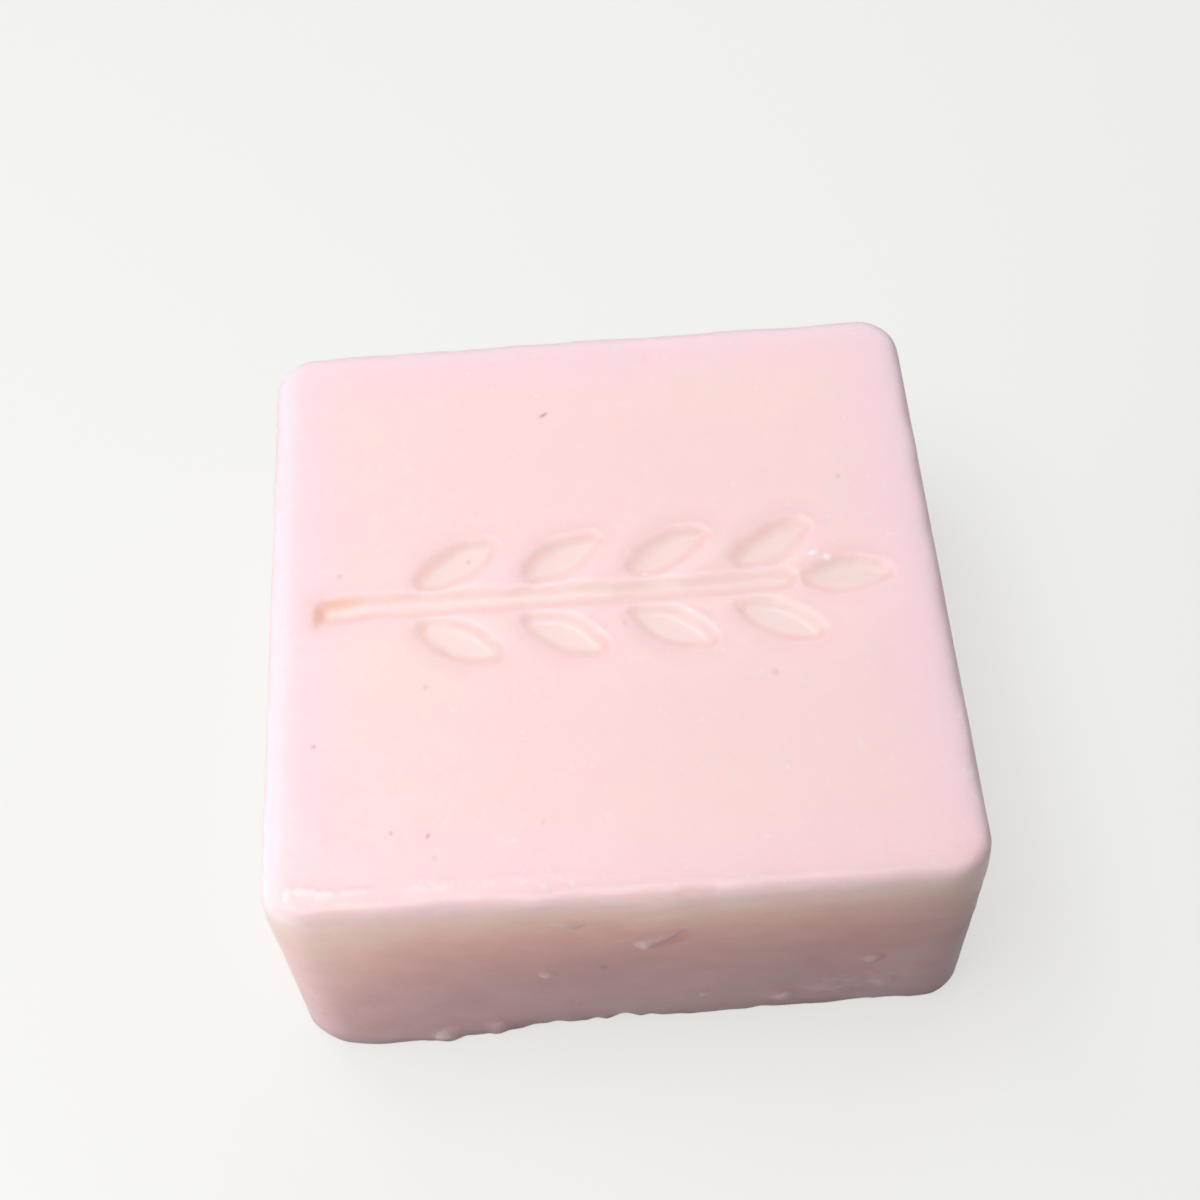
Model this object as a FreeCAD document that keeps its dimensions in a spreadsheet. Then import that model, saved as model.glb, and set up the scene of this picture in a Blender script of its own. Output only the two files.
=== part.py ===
"""Conditioner bar: one solid, cast in a square mould whose walls lean out by half a degree.

The pressed face was the mould's floor, so its edge is soft. The bar rests on the face that was the mould's
open side. The rim there is sharp, with a thin lip where the pour ran over at the front, and small chips
beside it. Lengths are in millimetres and angles in degrees.
Origin: middle of the resting face. X runs along the sprig, Y towards the back and Z up.
"""

import math
import os

import FreeCAD
import Part
import Sketcher

NODE = "conditioner_bar"

SIZES = {
    # the cast block, measured across the pressed face before its edge is rounded
    "face_width": 60.0,
    "face_depth": 59.0,
    "height": 26.5,
    "draft": 0.5,
    "corner_radius": 4.0,
    "soft_edge": 2.5,
    # the sprig pressed into the face: a stem, pairs of leaves beside it and one leaf at its end
    "sprig_margin": 4.75,
    "stem_width": 1.8,
    "stem_tail": 6.0,
    "leaf_length": 7.6,
    "leaf_width": 3.3,
    "leaf_tip": 0.65,
    "leaf_angle": 29.0,
    "leaf_gap": 0.85,
    "leaf_land": 1.25,
    "last_pair": 5.0,
    "press_depth": 1.0,
    "press_rim": 0.35,
    "press_floor": 0.25,
    # the lip that the pour left along the front of the rim, from a little way round the left corner
    "lip_wrap": 0.8,
    "lip_length": 18.0,
    "lip_reach": 0.9,
    "lip_rise": 1.6,
    "lip_root": 1.5,
    # the chips out of the front of the rim, each placed from the left side or from the right
    "middle_chip_place": 29.0,
    "middle_chip_length": 4.4,
    "middle_chip_depth": 0.5,
    "left_chip_place": 23.2,
    "left_chip_length": 3.2,
    "left_chip_depth": 0.3,
    "right_chip_place": 9.6,
    "right_chip_length": 5.0,
    "right_chip_depth": 0.3,
    "chip_rise": 1.4,
    # the gouge that slants across the front, placed from the left side and from the pressed face
    "gouge_place": 33.0,
    "gouge_drop": 7.5,
    "gouge_length": 6.4,
    "gouge_breadth": 1.6,
    "gouge_depth": 0.35,
    "gouge_angle": 40.0,
}

# Worked out from the sizes, as expressions
LEAN = "sizes.height * tan(sizes.draft * 1deg)"
LEFT = f"(-sizes.face_width / 2 - {LEAN})"
RIGHT = f"(sizes.face_width / 2 + {LEAN})"
FRONT = f"(-sizes.face_depth / 2 - {LEAN})"
SPRIG_END = "(sizes.face_width / 2 - sizes.sprig_margin)"
STEM_END = f"({SPRIG_END} - sizes.leaf_length - sizes.leaf_gap)"
LEAF_PITCH = "((sizes.leaf_width + sizes.leaf_land) / sin(sizes.leaf_angle * 1deg))"
LEAF_ROOM = f"({STEM_END} + {SPRIG_END} - sizes.last_pair - sizes.stem_tail)"
LEAF_PAIRS = f"floor({LEAF_ROOM} / {LEAF_PITCH}) + 1"
# The radius at which a leaf's sides run into its rounded tips without a corner
LEAF_SIDE = (
    "((sizes.leaf_length / 2 - sizes.leaf_tip) ^ 2 + sizes.leaf_width ^ 2 / 4 - sizes.leaf_tip ^ 2)"
    " / (sizes.leaf_width - 2 * sizes.leaf_tip)"
)

# The sketches' words for a shape's points, and for their own origin and X axis
START, END, CENTRE = 1, 2, 3
X_AXIS = -1
ORIGIN = (X_AXIS, START)

LEVEL_TOLERANCE = 1e-6
# The features that add to the bar. Every other one takes some of it away.
ADDING = ("block", "pressed_floors", "lip")


def make_sheet(doc):
    """The named sizes, one row each."""
    sheet = doc.addObject("Spreadsheet::Sheet", "sizes")
    for row, (alias, value) in enumerate(SIZES.items(), start=1):
        sheet.set(f"A{row}", alias)
        sheet.set(f"B{row}", str(value))
        sheet.setAlias(f"B{row}", alias)
    doc.recompute()


def bind(feature, **expressions):
    for name, expression in expressions.items():
        feature.setExpression(name, expression)


def origin_feature(body, role):
    return next(feature for feature in body.Origin.OriginFeatures if feature.Role == role)


def attach(feature, body, height="0"):
    """Puts a sketch or a primitive on the body's XY plane, raised by an expression."""
    feature.AttachmentSupport = (origin_feature(body, "XY_Plane"), [""])
    feature.MapMode = "FlatFace"
    feature.setExpression("AttachmentOffset.Base.z", height)


class Drawing:
    """A sketch whose shapes are drawn near their places, then held there by rules and sizes."""

    def __init__(self, body, name, height="0"):
        self.sketch = body.newObject("Sketcher::SketchObject", name)
        attach(self.sketch, body, height)

    def line(self, start, end, construction=False):
        shape = Part.LineSegment(FreeCAD.Vector(*start, 0), FreeCAD.Vector(*end, 0))
        return self.sketch.addGeometry(shape, construction)

    def arc(self, centre, radius, start, end):
        circle = Part.Circle(FreeCAD.Vector(*centre, 0), FreeCAD.Vector(0, 0, 1), radius)
        shape = Part.ArcOfCircle(circle, math.radians(start), math.radians(end))
        return self.sketch.addGeometry(shape, False)

    def rule(self, kind, *places):
        return self.sketch.addConstraint(Sketcher.Constraint(kind, *places))

    def size(self, name, expression, kind, *places):
        """A rule whose value follows the sheet. The last of the places is the value as drawn."""
        self.sketch.renameConstraint(self.rule(kind, *places), name)
        self.sketch.setExpression(f"Constraints.{name}", expression)

    def chain(self, kind, *shapes):
        """Joins each shape's end to the next one's start, and the last to the first."""
        for shape, following in zip(shapes, shapes[1:] + shapes[:1]):
            self.rule(kind, shape, END, following, START)


def draw_rim(drawing):
    """The block where it is widest: a rounded rectangle about the origin."""
    width = SIZES["face_width"]
    depth = SIZES["face_depth"]
    radius = SIZES["corner_radius"]
    flat_x = width / 2 - radius
    flat_y = depth / 2 - radius
    front = drawing.line((-flat_x, -depth / 2), (flat_x, -depth / 2))
    front_right = drawing.arc((flat_x, -flat_y), radius, -90, 0)
    right = drawing.line((width / 2, -flat_y), (width / 2, flat_y))
    back_right = drawing.arc((flat_x, flat_y), radius, 0, 90)
    back = drawing.line((flat_x, depth / 2), (-flat_x, depth / 2))
    back_left = drawing.arc((-flat_x, flat_y), radius, 90, 180)
    left = drawing.line((-width / 2, flat_y), (-width / 2, -flat_y))
    front_left = drawing.arc((-flat_x, -flat_y), radius, 180, 270)
    drawing.chain("Tangent", front, front_right, right, back_right, back, back_left, left, front_left)
    for line in (front, back):
        drawing.rule("Horizontal", line)
    for line in (left, right):
        drawing.rule("Vertical", line)
    for arc in (back_right, back_left, front_left):
        drawing.rule("Equal", front_right, arc)
    drawing.rule("Symmetric", front_left, CENTRE, back_right, CENTRE, *ORIGIN)
    drawing.size("corner", "sizes.corner_radius", "Radius", front_right, radius)
    drawing.size("width", f"{RIGHT} - {LEFT}", "DistanceX", left, END, right, START, width)
    drawing.size("depth", f"-2 * {FRONT}", "DistanceY", front, START, back, END, depth)


def draw_leaf(drawing, name, root, angle):
    """A leaf with rounded tips, from its root along its axis. Returns the axis, right side and left side."""
    length = SIZES["leaf_length"]
    width = SIZES["leaf_width"]
    tip = SIZES["leaf_tip"]
    reach = length / 2 - tip
    side = (reach**2 + width**2 / 4 - tip**2) / (width - 2 * tip)
    rise = side - width / 2
    turn = math.degrees(math.atan2(reach, rise))
    cosine = math.cos(math.radians(angle))
    sine = math.sin(math.radians(angle))

    def place(along, off):
        """A point by its distances from the middle of the leaf: along the axis, and off it to the left."""
        run = length / 2 + along
        return root[0] + run * cosine - off * sine, root[1] + run * sine + off * cosine

    axis = drawing.line(root, place(length / 2, 0), construction=True)
    right = drawing.arc(place(0, rise), side, angle - 90 - turn, angle - 90 + turn)
    far_tip = drawing.arc(place(reach, 0), tip, angle - 90 + turn, angle + 90 - turn)
    left = drawing.arc(place(0, -rise), side, angle + 90 - turn, angle + 90 + turn)
    near_tip = drawing.arc(place(-reach, 0), tip, angle + 90 + turn, angle + 270 - turn)
    drawing.chain("Tangent", right, far_tip, left, near_tip)
    for tip_arc, axis_end in ((near_tip, START), (far_tip, END)):
        drawing.rule("PointOnObject", tip_arc, CENTRE, axis)
        drawing.rule("PointOnObject", axis, axis_end, tip_arc)
    drawing.rule("Equal", far_tip, near_tip)
    drawing.rule("Equal", right, left)
    drawing.size(f"{name}_tip", "sizes.leaf_tip", "Radius", far_tip, tip)
    drawing.size(f"{name}_side", LEAF_SIDE, "Radius", right, side)
    drawing.size(f"{name}_length", "sizes.leaf_length", "Distance", axis, length)
    return axis, right, left


def draw_last_pair(drawing):
    """The pair of leaves nearest the stem's end, one each side, whose inner sides keep clear of the stem."""
    stem_end = SIZES["face_width"] / 2 - SIZES["sprig_margin"] - SIZES["leaf_length"] - SIZES["leaf_gap"]
    root_x = stem_end - SIZES["last_pair"]
    clear = SIZES["stem_width"] / 2 + SIZES["leaf_gap"]
    for name, hand in (("back_leaf", 1), ("front_leaf", -1)):
        angle = hand * SIZES["leaf_angle"]
        axis, right, left = draw_leaf(drawing, name, (root_x, hand * clear), angle)
        inner = right if hand > 0 else left
        clearance = "sizes.stem_width / 2 + sizes.leaf_gap"
        drawing.size(f"{name}_clearance", clearance, "Distance", inner, X_AXIS, clear)
        root_place = f"{STEM_END} - sizes.last_pair"
        drawing.size(f"{name}_root", root_place, "DistanceX", *ORIGIN, axis, START, root_x)
        drawing.size(f"{name}_angle", f"{hand} * sizes.leaf_angle", "Angle", axis, math.radians(angle))


def draw_stem_and_end_leaf(drawing):
    """A slot with round ends along the X axis, and the leaf in line with it."""
    radius = SIZES["stem_width"] / 2
    sprig_end = SIZES["face_width"] / 2 - SIZES["sprig_margin"]
    root_x = sprig_end - SIZES["leaf_length"]
    last_x = root_x - SIZES["leaf_gap"] - radius
    first_x = radius - sprig_end
    front = drawing.line((first_x, -radius), (last_x, -radius))
    end = drawing.arc((last_x, 0), radius, -90, 90)
    back = drawing.line((last_x, radius), (first_x, radius))
    start = drawing.arc((first_x, 0), radius, 90, 270)
    drawing.chain("Tangent", front, end, back, start)
    drawing.rule("Horizontal", front)
    for arc in (start, end):
        drawing.rule("PointOnObject", arc, CENTRE, X_AXIS)
    drawing.size("stem_radius", "sizes.stem_width / 2", "Radius", end, radius)
    end_place = f"{STEM_END} - sizes.stem_width / 2"
    drawing.size("stem_end", end_place, "DistanceX", *ORIGIN, end, CENTRE, last_x)
    start_place = f"{SPRIG_END} - sizes.stem_width / 2"
    drawing.size("stem_start", start_place, "DistanceX", start, CENTRE, *ORIGIN, -first_x)
    axis, _, _ = draw_leaf(drawing, "end_leaf", (root_x, 0), 0)
    drawing.rule("Horizontal", axis)
    drawing.rule("PointOnObject", axis, START, X_AXIS)
    drawing.size("end_leaf_root", f"{SPRIG_END} - sizes.leaf_length", "DistanceX", *ORIGIN, axis, START, root_x)


def draw_lip(drawing):
    """The lip's footprint: an arc that runs out from the rim and back, closed inside the block."""
    rim = -SIZES["face_depth"] / 2
    start_x = SIZES["corner_radius"] - SIZES["lip_wrap"] - SIZES["face_width"] / 2
    end_x = start_x + SIZES["lip_length"]
    middle_x = (start_x + end_x) / 2
    half = SIZES["lip_length"] / 2
    radius = (half**2 + SIZES["lip_reach"] ** 2) / (2 * SIZES["lip_reach"])
    turn = math.degrees(math.asin(half / radius))
    inner = rim + SIZES["lip_root"]
    arc = drawing.arc((middle_x, rim - SIZES["lip_reach"] + radius), radius, 270 - turn, 270 + turn)
    right = drawing.line((end_x, rim), (end_x, inner))
    back = drawing.line((end_x, inner), (start_x, inner))
    left = drawing.line((start_x, inner), (start_x, rim))
    drawing.chain("Coincident", arc, right, back, left)
    drawing.rule("Horizontal", back)
    drawing.rule("Vertical", left)
    drawing.rule("Vertical", right)
    drawing.rule("Equal", left, right)
    curve = "((sizes.lip_length / 2) ^ 2 + sizes.lip_reach ^ 2) / (2 * sizes.lip_reach)"
    drawing.size("lip_curve", curve, "Radius", arc, radius)
    drawing.size("lip_length", "sizes.lip_length", "DistanceX", arc, START, arc, END, 2 * half)
    drawing.size("lip_root", "sizes.lip_root", "DistanceY", right, START, right, END, inner - rim)
    start_place = f"-{LEFT} - sizes.corner_radius + sizes.lip_wrap"
    drawing.size("lip_start", start_place, "DistanceX", arc, START, *ORIGIN, -start_x)
    drawing.size("lip_rim", f"-{FRONT}", "DistanceY", arc, START, *ORIGIN, -rim)


def extrude(body, kind, name, drawing, **expressions):
    feature = body.newObject(kind, name)
    feature.Profile = drawing.sketch
    drawing.sketch.Visibility = False
    bind(feature, **expressions)
    return feature


def dent(body, name, centre, along, outwards, upwards, turn="0"):
    """Cuts a shallow oval out of the front: an ellipsoid whose centre is on the surface."""
    feature = body.newObject("PartDesign::SubtractiveEllipsoid", name)
    feature.AttachmentOffset = FreeCAD.Placement(FreeCAD.Vector(), FreeCAD.Rotation(FreeCAD.Vector(0, 1, 0), 1))
    attach(feature, body, centre[2])
    feature.setExpression("AttachmentOffset.Base.x", centre[0])
    feature.setExpression("AttachmentOffset.Base.y", centre[1])
    feature.setExpression("AttachmentOffset.Rotation.Angle", turn)
    bind(feature, Radius1=upwards, Radius2=along, Radius3=outwards)


def level_edges(shape, level, keep):
    """Names of the edges of the flat faces at a level whose wires pass a test."""
    names = []
    for face in shape.Faces:
        if abs(face.BoundBox.ZMin - level) > LEVEL_TOLERANCE or abs(face.BoundBox.ZMax - level) > LEVEL_TOLERANCE:
            continue
        for wire in face.Wires:
            if keep(face, wire):
                for edge in wire.Edges:
                    number = next(i for i, other in enumerate(shape.Edges, start=1) if other.isSame(edge))
                    names.append(f"Edge{number}")
    return names


def is_outer(face, wire):
    return face.OuterWire.isSame(wire)


def is_inner(face, wire):
    return not is_outer(face, wire)


def round_edges(doc, body, name, level, keep, radius):
    """Rounds the edges at a level of the body's last feature."""
    doc.recompute()
    base = body.Tip
    feature = body.newObject("PartDesign::Fillet", name)
    feature.Base = (base, level_edges(base.Shape, level, keep))
    bind(feature, Radius=radius)


def cast_block(body):
    drawing = Drawing(body, "rim")
    draw_rim(drawing)
    extrude(body, "PartDesign::Pad", "block", drawing, Length="sizes.height", TaperAngle="-sizes.draft")


def press_sprig(doc, body):
    """Sinks the stem and the leaves into the face, with soft rims and soft floors."""
    sheet = doc.getObject("sizes")
    pair = Drawing(body, "last_pair_outline", "sizes.height")
    draw_last_pair(pair)
    pressed_pair = extrude(body, "PartDesign::Pocket", "last_pair", pair, Length="sizes.press_depth")
    pattern = body.newObject("PartDesign::LinearPattern", "leaf_pairs")
    pattern.Originals = [pressed_pair]
    pattern.Direction = (origin_feature(body, "X_Axis"), [""])
    pattern.Reversed = True
    pattern.Mode = "Spacing"
    bind(pattern, Offset=LEAF_PITCH, Occurrences=LEAF_PAIRS)
    body.Tip = pattern
    stem = Drawing(body, "stem_outline", "sizes.height")
    draw_stem_and_end_leaf(stem)
    extrude(body, "PartDesign::Pocket", "stem", stem, Length="sizes.press_depth")
    face = sheet.height
    floor = sheet.height - sheet.press_depth
    round_edges(doc, body, "pressed_floors", floor, is_outer, "sizes.press_floor")
    round_edges(doc, body, "pressed_rims", face, is_inner, "sizes.press_rim")
    round_edges(doc, body, "face_edge", face, is_outer, "sizes.soft_edge")


def spill_lip(body):
    drawing = Drawing(body, "lip_outline")
    draw_lip(drawing)
    lean = "-atan(sizes.lip_reach / sizes.lip_rise)"
    extrude(body, "PartDesign::Pad", "lip", drawing, Length="1.2 * sizes.lip_rise", TaperAngle=lean)


def wear_front(body):
    """The chips out of the rim and the gouge across the front."""
    places = {"middle_chip": (LEFT, "+"), "left_chip": (LEFT, "+"), "right_chip": (RIGHT, "-")}
    for name, (side, sign) in places.items():
        centre = (f"{side} {sign} sizes.{name}_place", FRONT, "0")
        dent(body, name, centre, f"sizes.{name}_length / 2", f"sizes.{name}_depth", "sizes.chip_rise")
    level = "sizes.height - sizes.gouge_drop"
    wall = "-sizes.face_depth / 2 - sizes.gouge_drop * tan(sizes.draft * 1deg)"
    centre = (f"{LEFT} + sizes.gouge_place", wall, level)
    half = "sizes.gouge_length / 2"
    dent(body, "gouge", centre, half, "sizes.gouge_depth", "sizes.gouge_breadth / 2", "-sizes.gouge_angle")


def solid_features(body):
    return [feature for feature in body.Group if feature.isDerivedFrom("PartDesign::Feature")]


def check(doc, body):
    """Stops the build on a failed object, a loose sketch or a feature that changes nothing."""
    for thing in doc.Objects:
        if "Invalid" in thing.State or "Error" in thing.State:
            raise RuntimeError(f"{thing.Name} failed: {thing.State}")
    for sketch in doc.findObjects("Sketcher::SketchObject"):
        if not sketch.FullyConstrained:
            raise RuntimeError(f"{sketch.Name} has a size left open")
    volume = 0
    for feature in solid_features(body):
        adds = feature.Name in ADDING
        if feature.Shape.Volume == volume or (feature.Shape.Volume > volume) != adds:
            raise RuntimeError(f"{feature.Name} changes the volume from {volume} to {feature.Shape.Volume}")
        volume = feature.Shape.Volume
    if body.Shape.isNull() or not body.Shape.isValid() or len(body.Shape.Solids) != 1:
        raise RuntimeError(f"{body.Label} is not one valid solid")


def main():
    doc = FreeCAD.newDocument(NODE)
    make_sheet(doc)
    body = doc.addObject("PartDesign::Body", NODE)
    body.Label = NODE
    cast_block(body)
    press_sprig(doc, body)
    spill_lip(body)
    wear_front(body)
    doc.recompute()
    check(doc, body)
    box = body.Shape.optimalBoundingBox()
    print(f"volume {body.Shape.Volume:.1f} mm3")
    print(f"x {box.XMin:.3f} to {box.XMax:.3f}, y {box.YMin:.3f} to {box.YMax:.3f}, z {box.ZMin:.3f} to {box.ZMax:.3f}")
    os.makedirs("parts", exist_ok=True)
    body.Shape.exportStep(f"parts/{body.Label}.step")


main()
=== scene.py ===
"""The look of a cast bar of solid hair conditioner, with a pale floor, soft light and a camera.

The bar is one piece. A lattice of its box is refined where the detail is, shaped by a node tree,
and then worn by listed marks. Sizes are in millimetres, and MM turns them to metres.
"""

import math

import bmesh
import bpy
import numpy as np
from mathutils import Matrix, Vector


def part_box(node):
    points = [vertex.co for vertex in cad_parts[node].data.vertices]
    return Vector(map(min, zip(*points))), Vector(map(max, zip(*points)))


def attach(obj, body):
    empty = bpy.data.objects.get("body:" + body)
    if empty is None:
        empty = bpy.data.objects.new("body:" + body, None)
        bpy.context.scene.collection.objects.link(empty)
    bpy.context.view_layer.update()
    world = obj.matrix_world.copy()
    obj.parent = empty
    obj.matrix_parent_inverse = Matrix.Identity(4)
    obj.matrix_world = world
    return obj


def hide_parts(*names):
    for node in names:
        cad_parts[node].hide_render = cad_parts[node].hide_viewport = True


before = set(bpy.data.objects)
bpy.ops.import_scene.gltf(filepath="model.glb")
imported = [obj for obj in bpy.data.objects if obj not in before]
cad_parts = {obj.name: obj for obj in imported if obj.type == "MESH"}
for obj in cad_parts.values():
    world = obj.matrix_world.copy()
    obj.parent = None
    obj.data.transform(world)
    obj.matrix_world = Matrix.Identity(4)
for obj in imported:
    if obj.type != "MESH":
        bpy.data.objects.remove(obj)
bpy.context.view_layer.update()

MM = 0.001
NODE = "conditioner_bar"

# The block. X runs along the sprig, Y towards the back and Z up from the resting face.
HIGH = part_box(NODE)[1] / MM
HEIGHT = HIGH.z
DRAFT = math.tan(math.radians(0.5))
HALF_WIDTH = HIGH.x - HEIGHT * DRAFT
HALF_DEPTH = HIGH.y - HEIGHT * DRAFT
CORNER_RADIUS = 4.0
SOFT_EDGE = 1.4
EDGE_WANDER = 0.4
RIM_EDGE = 0.5

# The sprig pressed into the face. It lies where the solid has it, with shallower hollows and softer
# walls. It keeps a margin at both ends, and a step between its last pair of leaves and the stem's end.
SPRIG_MARGIN = 4.75
LAST_STEP = 5.0
STEM_WIDTH = 1.8
LEAF_LENGTH = 7.6
LEAF_WIDTH = 3.3
LEAF_TIP = 0.65
LEAF_ANGLE = math.radians(29)
LEAF_GAP = 0.85
LEAF_LAND = 1.25
LEAF_PAIRS = 4
PRESS_DEPTH = 0.65
PRESS_WALL = 1.6
SPRIG_END = HALF_WIDTH - SPRIG_MARGIN
STEM_END = SPRIG_END - LEAF_LENGTH - LEAF_GAP
LAST_PAIR = STEM_END - LAST_STEP
LEAF_PITCH = (LEAF_WIDTH + LEAF_LAND) / math.sin(LEAF_ANGLE)
LEAF_BOW = (LEAF_LENGTH / 2 - LEAF_TIP) ** 2 + LEAF_WIDTH**2 / 4 - LEAF_TIP**2
LEAF_SIDE = LEAF_BOW / (LEAF_WIDTH - 2 * LEAF_TIP)
LEAF_DROP = LEAF_SIDE - (LEAF_SIDE - LEAF_WIDTH / 2) * math.cos(LEAF_ANGLE)
LEAF_ROOT = STEM_WIDTH / 2 + LEAF_GAP + LEAF_DROP - LEAF_LENGTH / 2 * math.sin(LEAF_ANGLE)

# The kinds of node that are used most. Noise lies mostly between 0.3 and 0.7, so the ranges that read
# it start and end near those.
MATHS = "ShaderNodeMath"
VECTORS = "ShaderNodeVectorMath"
SEPARATE = "ShaderNodeSeparateXYZ"
COMBINE = "ShaderNodeCombineXYZ"
RANGE = "ShaderNodeMapRange"
NOISE = "ShaderNodeTexNoise"


def add(tree, kind, inputs=None, **settings):
    """Adds a node. Each input is a value, another node's output, or a node, for its first output."""
    node = tree.nodes.new(kind)
    for name, value in settings.items():
        setattr(node, name, value)
    for key, value in (inputs or {}).items():
        if isinstance(value, bpy.types.Node):
            value = value.outputs[0]
        if isinstance(value, bpy.types.NodeSocket):
            tree.links.new(value, node.inputs[key])
        else:
            node.inputs[key].default_value = value
    return node


def linear(code):
    """A colour written as sRGB hex, as Blender's linear red, green, blue and alpha."""
    channels = [int(code[i : i + 2], 16) / 255 for i in (1, 3, 5)]
    return [c / 12.92 if c <= 0.04045 else ((c + 0.055) / 1.055) ** 2.4 for c in channels] + [1.0]


def link(thing):
    """Puts a new object in the scene."""
    bpy.context.scene.collection.objects.link(thing)
    return thing


# --- the lattice that the bar is shaped from ------------------------------------------------------

# The width of a plain cell. Each refining halves it.
CELL = 0.7
# How far back the finer front reaches, and how far the finest cells reach past the sprig
FINE_FRONT = 4.0
FINE_MARGIN = 1.6
# How far the finer cells reach round a speck, first and second time
SPECK_REACHES = (2.3, 1.4)
# How far the finer cells reach down from the top edge of the front, and up from its foot
FINE_EDGE = 3.0
FINE_FOOT = 2.0
# Where the finest cells for the flap on the front are: from, to, and the lowest height
FLAP_SPAN = (-9.0, 7.0, 10.0)


def lattice(half_width, half_depth, height, cell):
    """A closed box in millimetres whose six sides are grids of nearly square cells."""
    lines = [
        np.linspace(-half_width, half_width, round(2 * half_width / cell) + 1),
        np.linspace(-half_depth, half_depth, round(2 * half_depth / cell) + 1),
        np.linspace(0, height, round(height / cell) + 1),
    ]
    shape = [len(line) for line in lines]
    sides = []
    for axis in range(3):
        first = (axis + 1) % 3
        second = (axis + 2) % 3
        for far in (False, True):
            at = np.zeros((shape[first], shape[second], 3), int)
            at[..., axis] = shape[axis] - 1 if far else 0
            at[..., first] = np.arange(shape[first])[:, None]
            at[..., second] = np.arange(shape[second])[None, :]
            code = np.ravel_multi_index(np.moveaxis(at, -1, 0), shape)
            corners = [code[:-1, :-1], code[1:, :-1], code[1:, 1:], code[:-1, 1:]]
            sides.append(np.stack(corners if far else corners[::-1], -1).reshape(-1, 4))
    codes, faces = np.unique(np.concatenate(sides), return_inverse=True)
    points = np.stack([line[i] for line, i in zip(lines, np.unravel_index(codes, shape))], -1)
    mesh = bpy.data.meshes.new("lattice")
    mesh.from_pydata(points.tolist(), [], faces.reshape(-1, 4).tolist())
    box = bmesh.new()
    box.from_mesh(mesh)
    bpy.data.meshes.remove(mesh)
    return box


def refine(box, inside):
    """Halves the cells whose edges lie inside a region."""
    edges = [edge for edge in box.edges if all(inside(*corner.co) for corner in edge.verts)]
    bmesh.ops.subdivide_edges(box, edges=edges, cuts=1, use_grid_fill=True)


def make_blank():
    """The box that the tree shapes: finer on the front, and finest where the sprig is pressed."""
    box = lattice(HALF_WIDTH, HALF_DEPTH, HEIGHT, CELL)
    top = HEIGHT - CELL / 4
    reach_x = SPRIG_END + FINE_MARGIN
    reach_y = LEAF_ROOT + LEAF_LENGTH * math.sin(LEAF_ANGLE) + FINE_MARGIN
    refine(box, lambda x, y, z: y < FINE_FRONT - HALF_DEPTH)
    specks = [row[1:3] for row in SPECKS.values() if row[0] == "top" and abs(row[2]) > reach_y]

    def near_speck(x, y, reach):
        return any(max(abs(x - along), abs(y - back)) < reach for along, back in specks)

    for reach in SPECK_REACHES:
        refine(box, lambda x, y, z: z > top and near_speck(x, y, reach))
    refine(box, lambda x, y, z: z > top and abs(x) < reach_x + CELL and abs(y) < reach_y + CELL)
    refine(box, lambda x, y, z: z > top and abs(x) < reach_x and abs(y) < reach_y)
    refine(box, lambda x, y, z: y < FINE_FRONT - CELL - HALF_DEPTH and z > HEIGHT - FINE_EDGE)
    refine(box, lambda x, y, z: y < FINE_FOOT - HALF_DEPTH and z < FINE_FOOT)
    left, right, low = FLAP_SPAN
    refine(box, lambda x, y, z: y < CELL - HALF_DEPTH and left < x < right and z > low)
    # A corner left on one straight edge would fold its two faces onto each other
    halfway = [corner for corner in box.verts if len(corner.link_edges) == 2]
    bmesh.ops.dissolve_verts(box, verts=halfway)
    bmesh.ops.scale(box, vec=(MM, MM, MM), verts=box.verts)
    mesh = bpy.data.meshes.new("bar")
    box.to_mesh(mesh)
    box.free()
    return link(bpy.data.objects.new("bar", mesh))


# --- the tree that shapes the bar -----------------------------------------------------------------

LENGTHS = {
    "Half Width": HALF_WIDTH,
    "Half Depth": HALF_DEPTH,
    "Height": HEIGHT,
    "Corner Radius": CORNER_RADIUS,
    "Soft Edge": SOFT_EDGE,
    "Edge Wander": EDGE_WANDER,
    "Rim Edge": RIM_EDGE,
    "Stem Start": -SPRIG_END,
    "Stem End": STEM_END,
    "Stem Width": STEM_WIDTH,
    "Sprig End": SPRIG_END,
    "Last Pair": LAST_PAIR,
    "Leaf Root": LEAF_ROOT,
    "Leaf Pitch": LEAF_PITCH,
    "Leaf Length": LEAF_LENGTH,
    "Leaf Width": LEAF_WIDTH,
    "Press Depth": PRESS_DEPTH,
    "Press Wall": PRESS_WALL,
    # How far the wall curves in at the top, and from how far down
    "Shoulder": 0.30,
    "Shoulder Reach": 5.0,
    # How far the painted sheen of the edges reaches, and how far round the sprig the face has sunk with
    # it, with painted shade on that sunk skin
    "Edge Reach": 10.0,
    "Halo Reach": 3.6,
    "Halo Depth": 0.10,
    "Wave Height": 0.07,
    "Lump Height": 0.12,
    "Grain Height": 0.05,
}


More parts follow.
